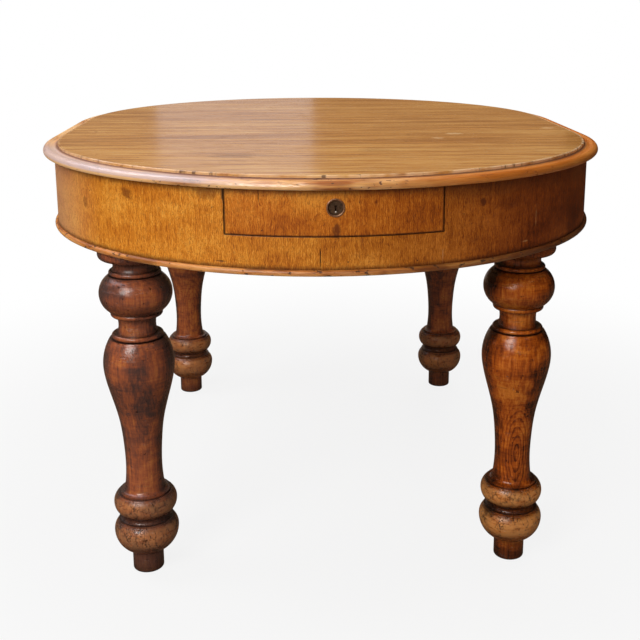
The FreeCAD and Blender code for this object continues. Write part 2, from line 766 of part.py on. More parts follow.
def drawer_front():
    """The bowed front, cut for its sides, bottom and lock."""
    half = DRAWER_WIDTH / 2
    bow = half_ring(APRON_RADIUS, DRAWER_INNER, DRAWER_FOOT, DRAWER_TOP)
    front = bow.common(box(-half, half, DRAWER_FACE - 1, -HALF_STRAIGHT, DRAWER_FOOT, DRAWER_TOP))
    side = dovetailed_side()
    ring_hole = rod(RING_OUTER, lock_axis(DRAWER_FACE - 1), lock_axis(DRAWER_FACE + RING_DEPTH))
    plug_hole = rod(RING_INNER, lock_axis(DRAWER_FACE), lock_axis(CASE_FRONT))
    cuts = [side, mirrored(side), drawer_bottom(), ring_hole, plug_hole, lock_case_block()]
    return front.cut(cuts + lock_screw_blanks()).Solids[0]


def lock_ring():
    """The ring let into the drawer front round the lock."""
    front = DRAWER_FACE - RING_PROUD
    rear = DRAWER_FACE + RING_DEPTH
    ring = rod(RING_OUTER, lock_axis(front), lock_axis(rear))
    ring = ring.cut(rod(RING_INNER, lock_axis(front - 1), lock_axis(rear + 1)))
    rim = [edge for edge in ring.Edges if edge.BoundBox.YMax < front + 0.01]
    return ring.makeFillet(RING_PROUD * 0.8, rim)


def lock_plug():
    """The plug that turns with the key, with a keyhole in its face."""
    face = DRAWER_FACE + PLUG_RECESS
    plug = rod(RING_INNER - SLIDE_FIT, lock_axis(face), lock_axis(CASE_FRONT + 2))
    hole = lock_axis(face - 1) + V(0, 0, KEYHOLE_RADIUS)
    depth = V(0, KEYHOLE_DEPTH + 1, 0)
    slit = KEYHOLE_RADIUS * 0.6
    slot = box(-slit, slit, hole.y, hole.y + depth.y, hole.z - KEYHOLE_LENGTH, hole.z)
    pin = rod(PIN_RADIUS + GLUE_FIT, plug_pin_end(), plug_pin_end() + V(0, 4, 0))
    return plug.cut([rod(KEYHOLE_RADIUS, hole, hole + depth), slot, pin])


def plug_pin_end():
    return V(0, DRAWER_FACE + PLUG_RECESS - 0.8, LOCK_Z - PIN_DROP)


def plug_pin():
    """The small rivet in the face of the plug below its keyhole."""
    return rod(PIN_RADIUS, plug_pin_end(), plug_pin_end() + V(0, 4, 0))


def lock_bolt():
    """The flat bolt that rises out of the drawer front."""
    half = BOLT_WIDTH / 2
    deep = BOLT_THICKNESS / 2
    return box(-half, half, BOLT_Y - deep, BOLT_Y + deep, BOLT_TOP - BOLT_HEIGHT, BOLT_TOP)


def lock_case():
    """The case behind the drawer front, with a bore for the plug and a channel for the bolt."""
    half = BOLT_WIDTH / 2 + SLIDE_FIT
    deep = BOLT_THICKNESS / 2 + SLIDE_FIT
    low = BOLT_TOP - BOLT_HEIGHT - SLIDE_FIT
    channel = box(-half, half, BOLT_Y - deep, BOLT_Y + deep, low, DRAWER_TOP + 1)
    bore = rod(RING_INNER, lock_axis(CASE_FRONT - 1), lock_axis(CASE_FRONT + 2.2))
    return lock_case_block().cut([channel, bore] + lock_screw_blanks()).Solids[0]


def lock_screw_places():
    """The four corners of the lock case, on its rear face."""
    x = CASE_WIDTH / 2 - 7
    low = DRAWER_TOP - CASE_HEIGHT + 7
    high = DRAWER_TOP - 9
    return [V(side * x, CASE_REAR, z) for side in (-1, 1) for z in (low, high)]


def lock_screw_blanks():
    blank = screw_blank(CASE_DEPTH + 5)
    return [placed(blank, place, V(0, -1, 0)) for place in lock_screw_places()]


def lock_screws():
    """Slotted screws that hold the lock case."""
    screw = screw_blank(CASE_DEPTH + 5).cut(screw_slot())
    return group([placed(screw, place, V(0, -1, 0)) for place in lock_screw_places()])


def all_parts():
    """Every piece of the table under its name, in its place in the closed table."""
    left_edge, middle_edge, right_edge = edge_lengths()
    front_screws = runner_screws(FRONT_RUNNER_X + RUNNER_WIDTH / 2)
    back_screws = runner_screws(BACK_RUNNER_X + RUNNER_WIDTH / 2)
    parts = {
        "front_top_boards": front_top_boards(),
        "front_edge_left": left_edge,
        "front_edge_middle": middle_edge,
        "front_edge_right": right_edge,
        "front_apron": front_apron(),
        "front_bead": bead(),
        "front_cross_rail": cross_rail(),
        "front_right_leg": leg(),
        "front_left_leg": mirrored(leg()),
        "front_right_leg_block": leg_block(),
        "front_left_leg_block": mirrored(leg_block()),
        "front_right_runner": front_runner(),
        "front_left_runner": mirrored(front_runner()),
        "right_drawer_runner": drawer_runner(),
        "left_drawer_runner": mirrored(drawer_runner()),
        "drawer_stops": both_sides([drawer_stop()]),
        "drawer_runner_screws": both_sides(web_screws()),
        "front_runner_screws": both_sides(front_screws),
        "front_glue_blocks": front_glue_blocks(),
        "alignment_pegs": alignment_pegs(),
        "back_top_boards": back_top_boards(),
        "back_edge_right": to_back(left_edge),
        "back_edge_middle": to_back(middle_edge),
        "back_edge_left": to_back(right_edge),
        "back_apron": back_apron(),
        "back_bead": to_back(bead()),
        "back_cross_rail": to_back(cross_rail()),
        "back_right_leg": mirrored(to_back(leg())),
        "back_left_leg": to_back(leg()),
        "back_right_leg_block": mirrored(to_back(leg_block())),
        "back_left_leg_block": to_back(leg_block()),
        "back_right_runner": back_runner(),
        "back_left_runner": mirrored(back_runner()),
        "back_runner_screws": to_back(both_sides(back_screws)),
        "back_glue_blocks": back_glue_blocks(),
        "right_middle_runner": middle_runner(),
        "left_middle_runner": mirrored(middle_runner()),
        "drawer_front": drawer_front(),
        "drawer_right_side": drawer_side(),
        "drawer_left_side": mirrored(drawer_side()),
        "drawer_back": drawer_back(),
        "drawer_bottom": drawer_bottom(),
        "lock_ring": lock_ring(),
        "lock_case": lock_case(),
        "lock_screws": lock_screws(),
        "lock_plug": lock_plug(),
        "plug_pin": plug_pin(),
        "lock_bolt": lock_bolt(),
    }
    return parts


os.makedirs("parts", exist_ok=True)
for name, shape in all_parts().items():
    shape.exportStep("parts/" + name + ".step")
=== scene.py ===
import math

import bpy
from mathutils import Matrix, Vector


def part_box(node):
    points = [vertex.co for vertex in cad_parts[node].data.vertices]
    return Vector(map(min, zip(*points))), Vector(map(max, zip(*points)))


# The looks of an old oval extending table: waxed top, veneered apron, turned legs and a small lock.
# Lengths are in metres. Colours are written as they show on a screen, from 0 to 255.

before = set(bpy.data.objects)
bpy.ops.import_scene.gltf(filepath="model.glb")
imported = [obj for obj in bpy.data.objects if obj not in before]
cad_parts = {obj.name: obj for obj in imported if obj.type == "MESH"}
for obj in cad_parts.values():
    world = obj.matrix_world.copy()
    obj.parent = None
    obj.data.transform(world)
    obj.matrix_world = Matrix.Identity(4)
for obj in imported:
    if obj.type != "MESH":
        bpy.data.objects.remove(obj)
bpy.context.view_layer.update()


def colour(red, green, blue):
    """A screen colour as the linear light that the shaders use."""
    linear = []
    for level in (red / 255, green / 255, blue / 255):
        linear.append(level / 12.92 if level <= 0.04045 else ((level + 0.055) / 1.055) ** 2.4)
    return (*linear, 1.0)


# Camera
CAMERA_PLACE = Vector((-0.0756, -2.1893, 1.0341))
CAMERA_YAW = 0.0675
CAMERA_PITCH = 0.2275
CAMERA_ROLL = 0.0019
CAMERA_LENS = 56.55
CAMERA_SHIFT = (-0.0518, -0.1280)

# Studio
WHITE = (1.0, 1.0, 1.0, 1.0)
ROOM_LIGHT = 0.17
FLOOR_SIZE = 40.0
FLOOR_WHITE = 0.86
FLOOR_PAINT = (0.55, 0.55, 0.55, 1.0)
FADE_START = 0.7
FADE_END = 1.8

# Lamps: place, the point they shine at, width and height, watts, colour, and whether polish shows them
LAMPS = {
    "key": ((-1.5, -2.8, 2.2), (0.0, -0.3, 0.55), (1.5, 1.7), 80, (1.0, 0.98, 0.95), True),
    "skylight": ((-1.9, -0.1, 2.65), (-0.1, 0.0, 0.78), (1.2, 1.5), 30, (0.95, 0.98, 1.0), False),
    "overhead": ((0.5, 0.2, 3.2), (0.1, 0.0, 0.78), (2.0, 2.0), 38, (1.0, 0.99, 0.97), False),
    "back": ((1.0, 3.2, 2.9), (0.0, 0.6, 0.5), (1.6, 1.2), 26, (1.0, 0.97, 0.93), False),
}

# Room that the polish reflects; the bay is the lighter middle of its back wall
ROOM_SIDE = 3.4
ROOM_BACK = 3.0
ROOM_FRONT = -4.2
ROOM_HEIGHT = 3.6
BAY_SIDE = 1.40
WINDOW_LEFT = -0.73
WINDOW_RIGHT = 0.066
CEILING_COLOUR = colour(84, 66, 54)
CARPET_COLOUR = colour(104, 78, 60)
CARPET_HEIGHT = 0.002
SCREEN_COLOUR = colour(52, 36, 27)
SCREEN_PLACE = (0.85, 1.3)
SCREEN_HEIGHT = 0.76

# Walls: where each starts and ends in plan, and its colour
WALLS = {
    "wall_back_far_left": ((-ROOM_SIDE, ROOM_BACK), (-BAY_SIDE, ROOM_BACK), colour(150, 120, 96)),
    "wall_back_left": ((-BAY_SIDE, ROOM_BACK), (WINDOW_LEFT, ROOM_BACK), colour(164, 134, 106)),
    "window": ((WINDOW_LEFT, ROOM_BACK), (WINDOW_RIGHT, ROOM_BACK), colour(204, 188, 182)),
    "wall_back_right": ((WINDOW_RIGHT, ROOM_BACK), (BAY_SIDE, ROOM_BACK), colour(150, 114, 80)),
    "wall_back_far_right": ((BAY_SIDE, ROOM_BACK), (ROOM_SIDE, ROOM_BACK), colour(52, 36, 27)),
    "wall_right": ((ROOM_SIDE, ROOM_BACK), (ROOM_SIDE, ROOM_FRONT), colour(48, 34, 26)),
    "wall_front": ((ROOM_SIDE, ROOM_FRONT), (-ROOM_SIDE, ROOM_FRONT), colour(64, 48, 38)),
    "wall_left": ((-ROOM_SIDE, ROOM_FRONT), (-ROOM_SIDE, ROOM_BACK), colour(84, 66, 54)),
}

# Bright windows: two opposite corners, colour and strength
WINDOWS = {
    "side_window": ((-2.6, -0.6, 2.3), (-2.6, 2.0, 3.5), colour(234, 236, 250), 4.0),
    "roof_window": ((-2.4, -1.7, 3.2), (-0.42, 0.5, 3.2), colour(234, 236, 250), 4.0),
    "front_window": ((-1.30, -3.0, 0.9), (-0.65, -3.0, 1.7), colour(255, 238, 218), 3.0),
}

# Sizes read from the model
apron_low, apron_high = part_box("front_apron")
field_low, field_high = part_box("front_top_boards")
drawer_low, drawer_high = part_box("drawer_front")
edge_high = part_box("front_edge_right")[1]
APRON_RADIUS = apron_high.x
EDGE_RADIUS = edge_high.x
FIELD_RADIUS = field_high.x
HALF_STRAIGHT = -apron_low.y - APRON_RADIUS
APRON_FOOT = apron_low.z
DRAWER_REACH = APRON_RADIUS * math.asin(drawer_high.x / APRON_RADIUS)
DRAWER_FOOT = drawer_low.z
UNDERSIDE = field_low.z
BOARD_COUNT = 4
BOARD_WIDTH = -field_low.y / BOARD_COUNT

# Offsets that keep the patterns of the back half apart from those of the front
BACK_BOARD_NUMBER = 11.0
BACK_OFFSET = 7.0

# Heights, radii and half sizes on the legs
RINGS_FOOT = 0.056
RINGS_HEAD = 0.158
RING_HOLLOW = 0.048
RING_CREST = 0.057
OVAL_SIZE = (0.024, 0.085)
# Half sizes of the painted shadow on a leg
SHADOW_SIZE = (0.026, 0.115)

# Heights on the legs over which the wood darkens, from where it begins to where it is full; on the neck it
# is painted shade under the apron
DARK_FOOT = (0.050, 0.040)
SHADED_NECK = (0.49, 0.60)

# Stretches across the table over which a colour changes, from where it begins to where it is full; besides
# wear and the wood's own colour, some lay on painted shade and painted reflection
TOP_RUBBED = (-0.15, 0.10)
# The moulding carries a painted reflection of a window at the left front
EDGE_PAINTED_REFLECTION = (-0.06, -0.30)
EDGE_PAINTED_REFLECTION_DEPTH = (-0.10, -0.34)
EDGE_RUDDY = (0.03, 0.24)
# Redder and darker to the right: partly the veneer's own colour, partly painted shade
VENEER_RED_AND_SHADED = (-0.14, 0.38)
# Painted reflection, paler at the left end of the veneer
VENEER_PAINTED_SHEEN = (-0.38, -0.52)
# Painted shade under the top, to the right
VENEER_SHADED = (0.10, 0.26)
# Painted shade on the bead, to the right
BEAD_SHADED = (0.0, 0.36)

# Damage that the photo shows: middle of each patch, its half sizes and its strength
TOP_STAINS = [
    ((-0.160, -0.454), (0.070, 0.034), 1.0),
    ((0.088, -0.393), (0.040, 0.030), 0.6),
]
TOP_SCUFFS = [
    ((0.267, -0.163), (0.020, 0.014), 1.0),
    ((0.224, -0.232), (0.014, 0.012), 1.0),
    ((0.482, -0.079), (0.015, 0.012), 1.0),
]
VENEER_MARKS = [
    ((-0.366, 0.735), (0.015, 0.013), 0.75),
    ((-0.205, 0.747), (0.026, 0.010), 0.6),
    ((-0.489, 0.705), (0.010, 0.013), 0.6),
    ((0.2515, 0.7255), (0.009, 0.008), 1.0),
    ((0.309, 0.717), (0.045, 0.012), 0.4),
]
VENEER_SMOOTH_MARKS = [
    ((0.0015, 0.6935), (0.008, 0.015), 1.0),
]
VENEER_CRACKS = [
    ((-0.024, 0.649), (0.0012, 0.026), 1.0),
    ((0.0145, 0.749), (0.0010, 0.012), 0.7),
    ((-0.120, 0.748), (0.0014, 0.011), 0.8),
    ((-DRAWER_REACH - 0.002, 0.745), (0.0040, 0.013), 1.0),
    ((-0.1835, 0.6405), (0.011, 0.0018), 0.8),
]
VENEER_SCRATCHES = [
    ((0.379, 0.686), (0.0012, 0.022), 1.0),
    ((0.351, 0.647), (0.012, 0.0016), 1.0),
    ((0.176, 0.644), (0.0012, 0.018), 1.0),
]

# Colours of the woods from dark grain to light
TOP_TONES = [
    (0.36, colour(122, 70, 28)),
    (0.45, colour(164, 106, 48)),
    (0.53, colour(194, 138, 72)),
    (0.62, colour(212, 164, 98)),
]
EDGE_TONES = [
    (0.34, colour(122, 60, 18)),
    (0.48, colour(190, 112, 40)),
    (0.62, colour(230, 164, 82)),
]
APRON_TONES = [
    (0.34, colour(132, 64, 10)),
    (0.43, colour(176, 98, 18)),
    (0.52, colour(204, 126, 32)),
    (0.63, colour(222, 154, 60)),
]
DRAWER_TONES = [
    (0.34, colour(120, 54, 7)),
    (0.43, colour(162, 82, 12)),
    (0.52, colour(190, 106, 20)),
    (0.63, colour(212, 136, 44)),
]
# Redder, darker colours for the right of the veneer: partly its own colour, partly painted shade
RED_AND_SHADED_TONES = [
    (0.34, colour(50, 13, 2)),
    (0.46, colour(118, 40, 3)),
    (0.62, colour(178, 80, 12)),
]
LEG_TONES = [
    (0.27, colour(40, 14, 4)),
    (0.38, colour(104, 44, 9)),
    (0.49, colour(166, 76, 14)),
    (0.63, colour(214, 122, 38)),
]
RAW_TONES = [
    (0.30, colour(138, 98, 60)),
    (0.50, colour(176, 134, 88)),
    (0.68, colour(200, 164, 118)),
]
DRAWER_SIDE_TONES = [
    (0.30, colour(122, 80, 44)),
    (0.50, colour(158, 112, 66)),
    (0.68, colour(186, 144, 94)),
]

# Colours of wear and dirt on the woods, and of the painted shade, highlights and reflections laid over them
TOP_WEAR = {
    "cloud": colour(146, 88, 42),
    "pores": colour(92, 54, 26),
    "lines": colour(108, 62, 28),
    "flecks": colour(226, 188, 136),
    "stains": colour(100, 56, 28),
    "scuffs": colour(222, 186, 142),
    "holes": colour(50, 26, 14),
    "rubbed": colour(226, 188, 146),
    "dents": colour(66, 32, 13),
}
EDGE_WEAR = {
    "blotch": colour(118, 60, 26),
    # painted shade in the step by the boards and in crevices
    "grime_and_shade": colour(78, 36, 8),
    "nicks": colour(56, 23, 6),
    "pores": colour(80, 42, 20),
    # painted reflection of a window on the upward faces at the left front
    "painted_reflection": colour(204, 191, 192),
    # the nose painted pale, partly wear and partly a painted highlight
    "worn_highlight": colour(240, 192, 132),
    "ruddy": colour(196, 104, 22),
    "raw": colour(120, 72, 36),
}
VENEER_WEAR = {
    # painted reflection, paler and greyer at the left end
    "dust_and_sheen": colour(186, 146, 122),
    "pores": colour(78, 34, 10),
    "squiggles": colour(108, 44, 6),
    "marks": colour(82, 32, 12),
    "cracks": colour(30, 14, 8),
    "scratches": colour(205, 150, 96),
    "holes": colour(44, 20, 10),
    # painted shade in corners, under the top, above the bead and to the right
    "grime_and_shade": colour(58, 26, 12),
}
BEAD_WEAR = {
    "rubbed": colour(192, 138, 90),
    "dull": colour(92, 46, 20),
    # painted shade towards the right
    "shade_to_right": colour(84, 38, 12),
    # painted shade in crevices, and dark nicks
    "grime_and_shade": colour(44, 21, 11),
}
LEG_WEAR = {
    "pores": colour(40, 17, 8),
    "scored": colour(30, 12, 5),
    "worn": colour(214, 146, 78),
    # painted shade in the hollows between the rings
    "shaded_hollows": colour(38, 19, 10),
    "dirty": colour(52, 27, 14),
    "foot": colour(40, 20, 12),
    # dust and a painted reflection haze
    "dust_and_sheen": colour(102, 82, 78),
    # painted shade on faces that look down
    "under": colour(46, 20, 8),
    # painted shade in the grooves
    "grime_and_shade": colour(22, 11, 7),
    "chips": colour(24, 11, 7),
}
RAW_WEAR = {
    "pores": colour(84, 54, 30),
    # dust, with painted shade in corners
    "grime_and_shade": colour(70, 46, 28),
}

# What differs from leg to leg: the places of its oval figure and painted shadow, across from its middle
# line and up from the floor, the strength of the figure, the wear of its rings, its darkness and its veil
# of dust and painted reflection haze
LEGS = {
    "front_right_leg": {
        "oval_place": (0.0, 0.225),
        "shadow_place": (0.034, 0.330),
        "marking": 0.10,
        "wear": 0.78,
        "darkness": 0.018,
        "dust_and_sheen": 0.0,
    },
    "front_left_leg": {
        "oval_place": (0.010, 0.330),
        "shadow_place": (0.012, 0.360),
        "marking": 0.04,
        "wear": 0.48,
        "darkness": 0.046,
        "dust_and_sheen": 0.34,
    },
    "back_right_leg": {
        "oval_place": (-0.012, 0.400),
        "shadow_place": (-0.020, 0.300),
        "marking": 0.06,
        "wear": 0.50,
        "darkness": 0.02,
        "dust_and_sheen": 0.22,
    },
    "back_left_leg": {
        "oval_place": (0.014, 0.240),
        "shadow_place": (0.025, 0.420),
        "marking": 0.06,
        "wear": 0.55,
        "darkness": 0.01,
        "dust_and_sheen": 0.24,
    },
}

# Metals: bright colour, dull colour and roughness
BRASS = (colour(206, 164, 132), colour(128, 86, 60), 0.27)
BRONZE = (colour(132, 108, 86), colour(48, 37, 28), 0.32)
PIN_STEEL = (colour(236, 226, 212), colour(206, 188, 166), 0.20)
IRON = (colour(112, 104, 96), colour(66, 50, 40), 0.38)
SCREW_STEEL = (colour(128, 122, 116), colour(74, 58, 48), 0.36)


class Value:
    """A quantity that varies over a surface. Arithmetic on it adds the nodes that work it out."""

    def __init__(self, finish, socket):
        self.finish = finish
        self.socket = socket

    def __add__(self, other):
        return self.finish.math("ADD", self, other)

    def __radd__(self, other):
        return self.finish.math("ADD", other, self)

    def __sub__(self, other):
        return self.finish.math("SUBTRACT", self, other)

    def __rsub__(self, other):
        return self.finish.math("SUBTRACT", other, self)

    def __mul__(self, other):
        return self.finish.math("MULTIPLY", self, other)

    def __truediv__(self, other):
        return self.finish.math("DIVIDE", self, other)

    def __abs__(self):
        return self.finish.math("ABSOLUTE", self)


class Finish:
    """A material under construction. Its calls add shader nodes and return their outputs as Values."""

    def __init__(self, name):
        self.material = bpy.data.materials.new(name)
        self.material.use_nodes = True
        self.nodes = self.material.node_tree.nodes
        self.links = self.material.node_tree.links
        self.shader = self.nodes["Principled BSDF"]

    def feed(self, socket, value):
        """Links a Value to a socket, or sets a constant on it."""
        if isinstance(value, Value):
            self.links.new(value.socket, socket)
        else:
            socket.default_value = value

    def add(self, kind, inputs, output=0, **settings):
        """Adds a node of a kind with the given inputs and settings."""
        node = self.nodes.new(kind)
        for key, setting in settings.items():
            setattr(node, key, setting)
        for key, value in inputs.items():
            self.feed(node.inputs[key], value)
        return Value(self, node.outputs[output])

    def math(self, operation, first, second=0.0):
        return self.add("ShaderNodeMath", {0: first, 1: second}, operation=operation)

    def larger(self, first, second):
        return self.math("MAXIMUM", first, second)

    def length(self, first, second):
        """Length of the long side of a right-angled triangle."""
        return self.math("SQRT", first * first + second * second)

    def split(self, vector):
        """The three parts of a vector."""
        node = self.nodes.new("ShaderNodeSeparateXYZ")
        self.feed(node.inputs[0], vector)
        return [Value(self, output) for output in node.outputs]

    def point(self):
        """The place on the piece, in the frame of the whole table."""
        return self.split(self.add("ShaderNodeTexCoord", {}, "Object"))

    def facing(self):
        """The direction the surface faces."""
        return self.split(self.add("ShaderNodeNewGeometry", {}, "Normal"))

    def vector(self, x, y, z):
        return self.add("ShaderNodeCombineXYZ", {0: x, 1: y, 2: z})

    def noise(self, place, scale=1.0, detail=3.0, roughness=0.55, distortion=0.0):
        """A cloudy pattern from 0 to 1."""
        inputs = {
            "Vector": place,
            "Scale": scale,
            "Detail": detail,
            "Roughness": roughness,
            "Distortion": distortion,
        }
        return self.add("ShaderNodeTexNoise", inputs)

    def cells(self, place, scale):
        """Distance to the nearest of many scattered points."""
        return self.add("ShaderNodeTexVoronoi", {"Vector": place, "Scale": scale}, "Distance")

    def chance(self, number):
        """One random number from 0 to 1 for each whole number."""
        return self.add("ShaderNodeTexWhiteNoise", {"W": number}, noise_dimensions="1D")

    def ease(self, value, low, high):
        """0 below low and 1 above high, with a smooth change between; low may be the larger."""
        inputs = {"Value": value, "From Min": low, "From Max": high}
        return self.add("ShaderNodeMapRange", inputs, interpolation_type="SMOOTHSTEP")

    def window(self, value, low, high, edge):
        """1 between two levels, with soft edges."""
        return self.ease(value, low - edge, low + edge) * self.ease(value, high + edge, high - edge)

    def spot(self, u, v, centre, size, ragged):
        """1 in an oval patch and 0 outside it, with an edge that ragged pushes in and out."""
        reach = self.length((u - centre[0]) / size[0], (v - centre[1]) / size[1])
        return self.ease(reach + (ragged - 0.5) * 1.8, 1.0, 0.45)

    def spots(self, u, v, patches, ragged):
        """The strongest of several patches, each with its own middle, half sizes and strength."""
        strongest = 0.0
        for centre, size, strength in patches:
            strongest = self.larger(strongest, self.spot(u, v, centre, size, ragged) * strength)
        return strongest

    def ramp(self, value, stops):
        """A colour that changes with a value through a list of levels and colours."""
        node = self.nodes.new("ShaderNodeValToRGB")
        marks = node.color_ramp.elements
        marks[0].position, marks[0].color = stops[0]
        marks[1].position, marks[1].color = stops[-1]
        for level, shade in stops[1:-1]:
            marks.new(level).color = shade
        self.feed(node.inputs["Fac"], value)
        return Value(self, node.outputs["Color"])

    def mix(self, share, first, second):
        """The first colour with a share of the second laid over it."""
        node = self.nodes.new("ShaderNodeMix")
        node.data_type = "RGBA"
        self.feed(node.inputs["Factor"], share)
        self.feed(node.inputs[6], first)
        self.feed(node.inputs[7], second)
        return Value(self, node.outputs[2])

    def crevice(self, reach):
        """1 deep in corners and grooves, 0 on open faces."""
        node = self.nodes.new("ShaderNodeAmbientOcclusion")
        node.samples = 6
        node.inputs["Distance"].default_value = reach
        return 1.0 - Value(self, node.outputs["AO"])

    def complete(self, shade, roughness, height, depth, specular=0.5, metallic=0.0):
        """Joins colour, roughness and relief to the shader; depth is the relief's height in metres."""
        bump = {"Height": height, "Distance": depth, "Strength": 1.0}
        self.feed(self.shader.inputs["Base Color"], shade)
        self.feed(self.shader.inputs["Roughness"], roughness)
        self.feed(self.shader.inputs["Normal"], self.add("ShaderNodeBump", bump))
        self.shader.inputs["Specular IOR Level"].default_value = specular
        self.shader.inputs["Metallic"].default_value = metallic
        return self.material


def around_table(f):
    """Place along the curve of the table, height, and distance from the line that the curve turns round."""
    x, y, z = f.point()
    past_turn = f.larger(abs(y) - HALF_STRAIGHT, 0.0)
    before_turn = f.larger(HALF_STRAIGHT - abs(y), 0.0)
    angle = f.math("ARCTAN2", x, past_turn)
    along = angle * APRON_RADIUS + f.math("SIGN", x) * before_turn
    back = f.math("GREATER_THAN", y, 0.0)
    return along + back * BACK_OFFSET, z, f.length(x, past_turn)


def grain(f, along, across, depth, width):
    """Light and dark of straight grain from 0 to 1, with streaks of about the given width."""
    broad_place = f.vector(along / width * 0.05, across / width, depth / width)
    broad = f.noise(broad_place, detail=4.0, roughness=0.62)
    fine_place = f.vector(along / width * 0.25, across / width * 5, depth / width * 5)
    fine = f.noise(fine_place, roughness=0.6)
    return broad * 0.62 + fine * 0.38


def pores(f, along, across, depth, width, length):
    """Short dark dashes along the grain, 1 in a pore."""
    place = f.vector(along / length, across / width, depth / width)
    return f.ease(f.noise(place, detail=2.0, roughness=0.5), 0.60, 0.72)


def worm_holes(f, u, v, w, spacing, share):
    """Small round holes, scattered over some parts of a surface."""
    place = f.vector(u, v, w)
    near = f.cells(place, 1 / spacing)
    some = f.noise(place, scale=0.23 / spacing, detail=1.0)
    return f.ease(near, 0.085, 0.05) * f.ease(some, 1 - share, 1.06 - share)


def top_damage(f, shade, x, y, z):
    """Stains, scuffs and worm holes of the boards; returns the colour and the holes."""
    ragged = f.noise(f.vector(x * 14, y * 60, z), detail=4.0)
    stains = f.spots(x, y, TOP_STAINS, ragged)
    shade = f.mix(stains * 0.4, shade, TOP_WEAR["stains"])
    scuffs = f.spots(x, y, TOP_SCUFFS, ragged)
    shade = f.mix(scuffs * 0.65, shade, TOP_WEAR["scuffs"])
    holes = worm_holes(f, x, y, z, spacing=0.055, share=0.42)
    shade = f.mix(holes * 0.8, shade, TOP_WEAR["holes"])
    return shade, holes


def top_arris(f, shade, x, y, z):
    """The raised rim of the boards, rubbed pale and dented; returns the colour and the dents."""
    from_middle = around_table(f)[2]
    arris = f.ease(from_middle, FIELD_RADIUS - 0.006, FIELD_RADIUS - 0.002)
    rub = f.noise(f.vector(x, y, z), scale=18.0)
    rubbed = arris * f.ease(rub, 0.34, 0.54) * (f.ease(x, *TOP_RUBBED) * 0.5 + 0.4)
    shade = f.mix(rubbed, shade, TOP_WEAR["rubbed"])
    dents = f.noise(f.vector(x * 95, y * 95, z))
    dents = f.ease(dents, 0.58, 0.64) * arris * f.ease(rub, 0.40, 0.52)
    shade = f.mix(dents * 0.75, shade, TOP_WEAR["dents"])
    return shade, dents


def top_wood():
    """Waxed boards with the grain across the table, worn pale along the raised arris, raw underneath."""
    f = Finish("top_wood")
    x, y, z = f.point()
    back = f.math("GREATER_THAN", y, 0.0)
    board = f.math("FLOOR", abs(y) / BOARD_WIDTH) + back * BACK_BOARD_NUMBER
    shift = f.chance(board)
    along = x + shift * 9.0
    across = y + shift * 3.0
    tone = grain(f, along, across, z, width=0.012) * 0.6
    tone = tone + grain(f, along + 4.0, across, z, width=0.034) * 0.6 + (shift - 0.5) * 0.06 - 0.10
    shade = f.ramp(tone, TOP_TONES)
    cloud = f.noise(f.vector(x, y, z), scale=3.1)
    shade = f.mix(f.ease(cloud, 0.42, 0.75) * 0.25, shade, TOP_WEAR["cloud"])
    open_pores = pores(f, along, y, z, width=0.0016, length=0.030)
    shade = f.mix(open_pores * 0.6, shade, TOP_WEAR["pores"])
    lines = pores(f, along, y, z, width=0.006, length=0.16)
    shade = f.mix(lines * 0.5, shade, TOP_WEAR["lines"])
    flecks = f.noise(f.vector(along * 16, y * 330, z))
    shade = f.mix(f.ease(flecks, 0.58, 0.72) * 0.40, shade, TOP_WEAR["flecks"])
    shade, holes = top_damage(f, shade, x, y, z)
    shade, dents = top_arris(f, shade, x, y, z)
    raw = f.ease(f.facing()[2], -0.2, -0.6)
    shade = f.mix(raw, shade, f.ramp(tone, RAW_TONES))

    wax = f.noise(f.vector(x * 3, y * 9, z), scale=2.0, detail=4.0)
    roughness = 0.14 + wax * 0.14 + open_pores * 0.2 + raw * 0.4
    height = tone * 0.35 - open_pores * 0.4 - holes - dents * 0.5
    return f.complete(shade, roughness, height, depth=0.0006)


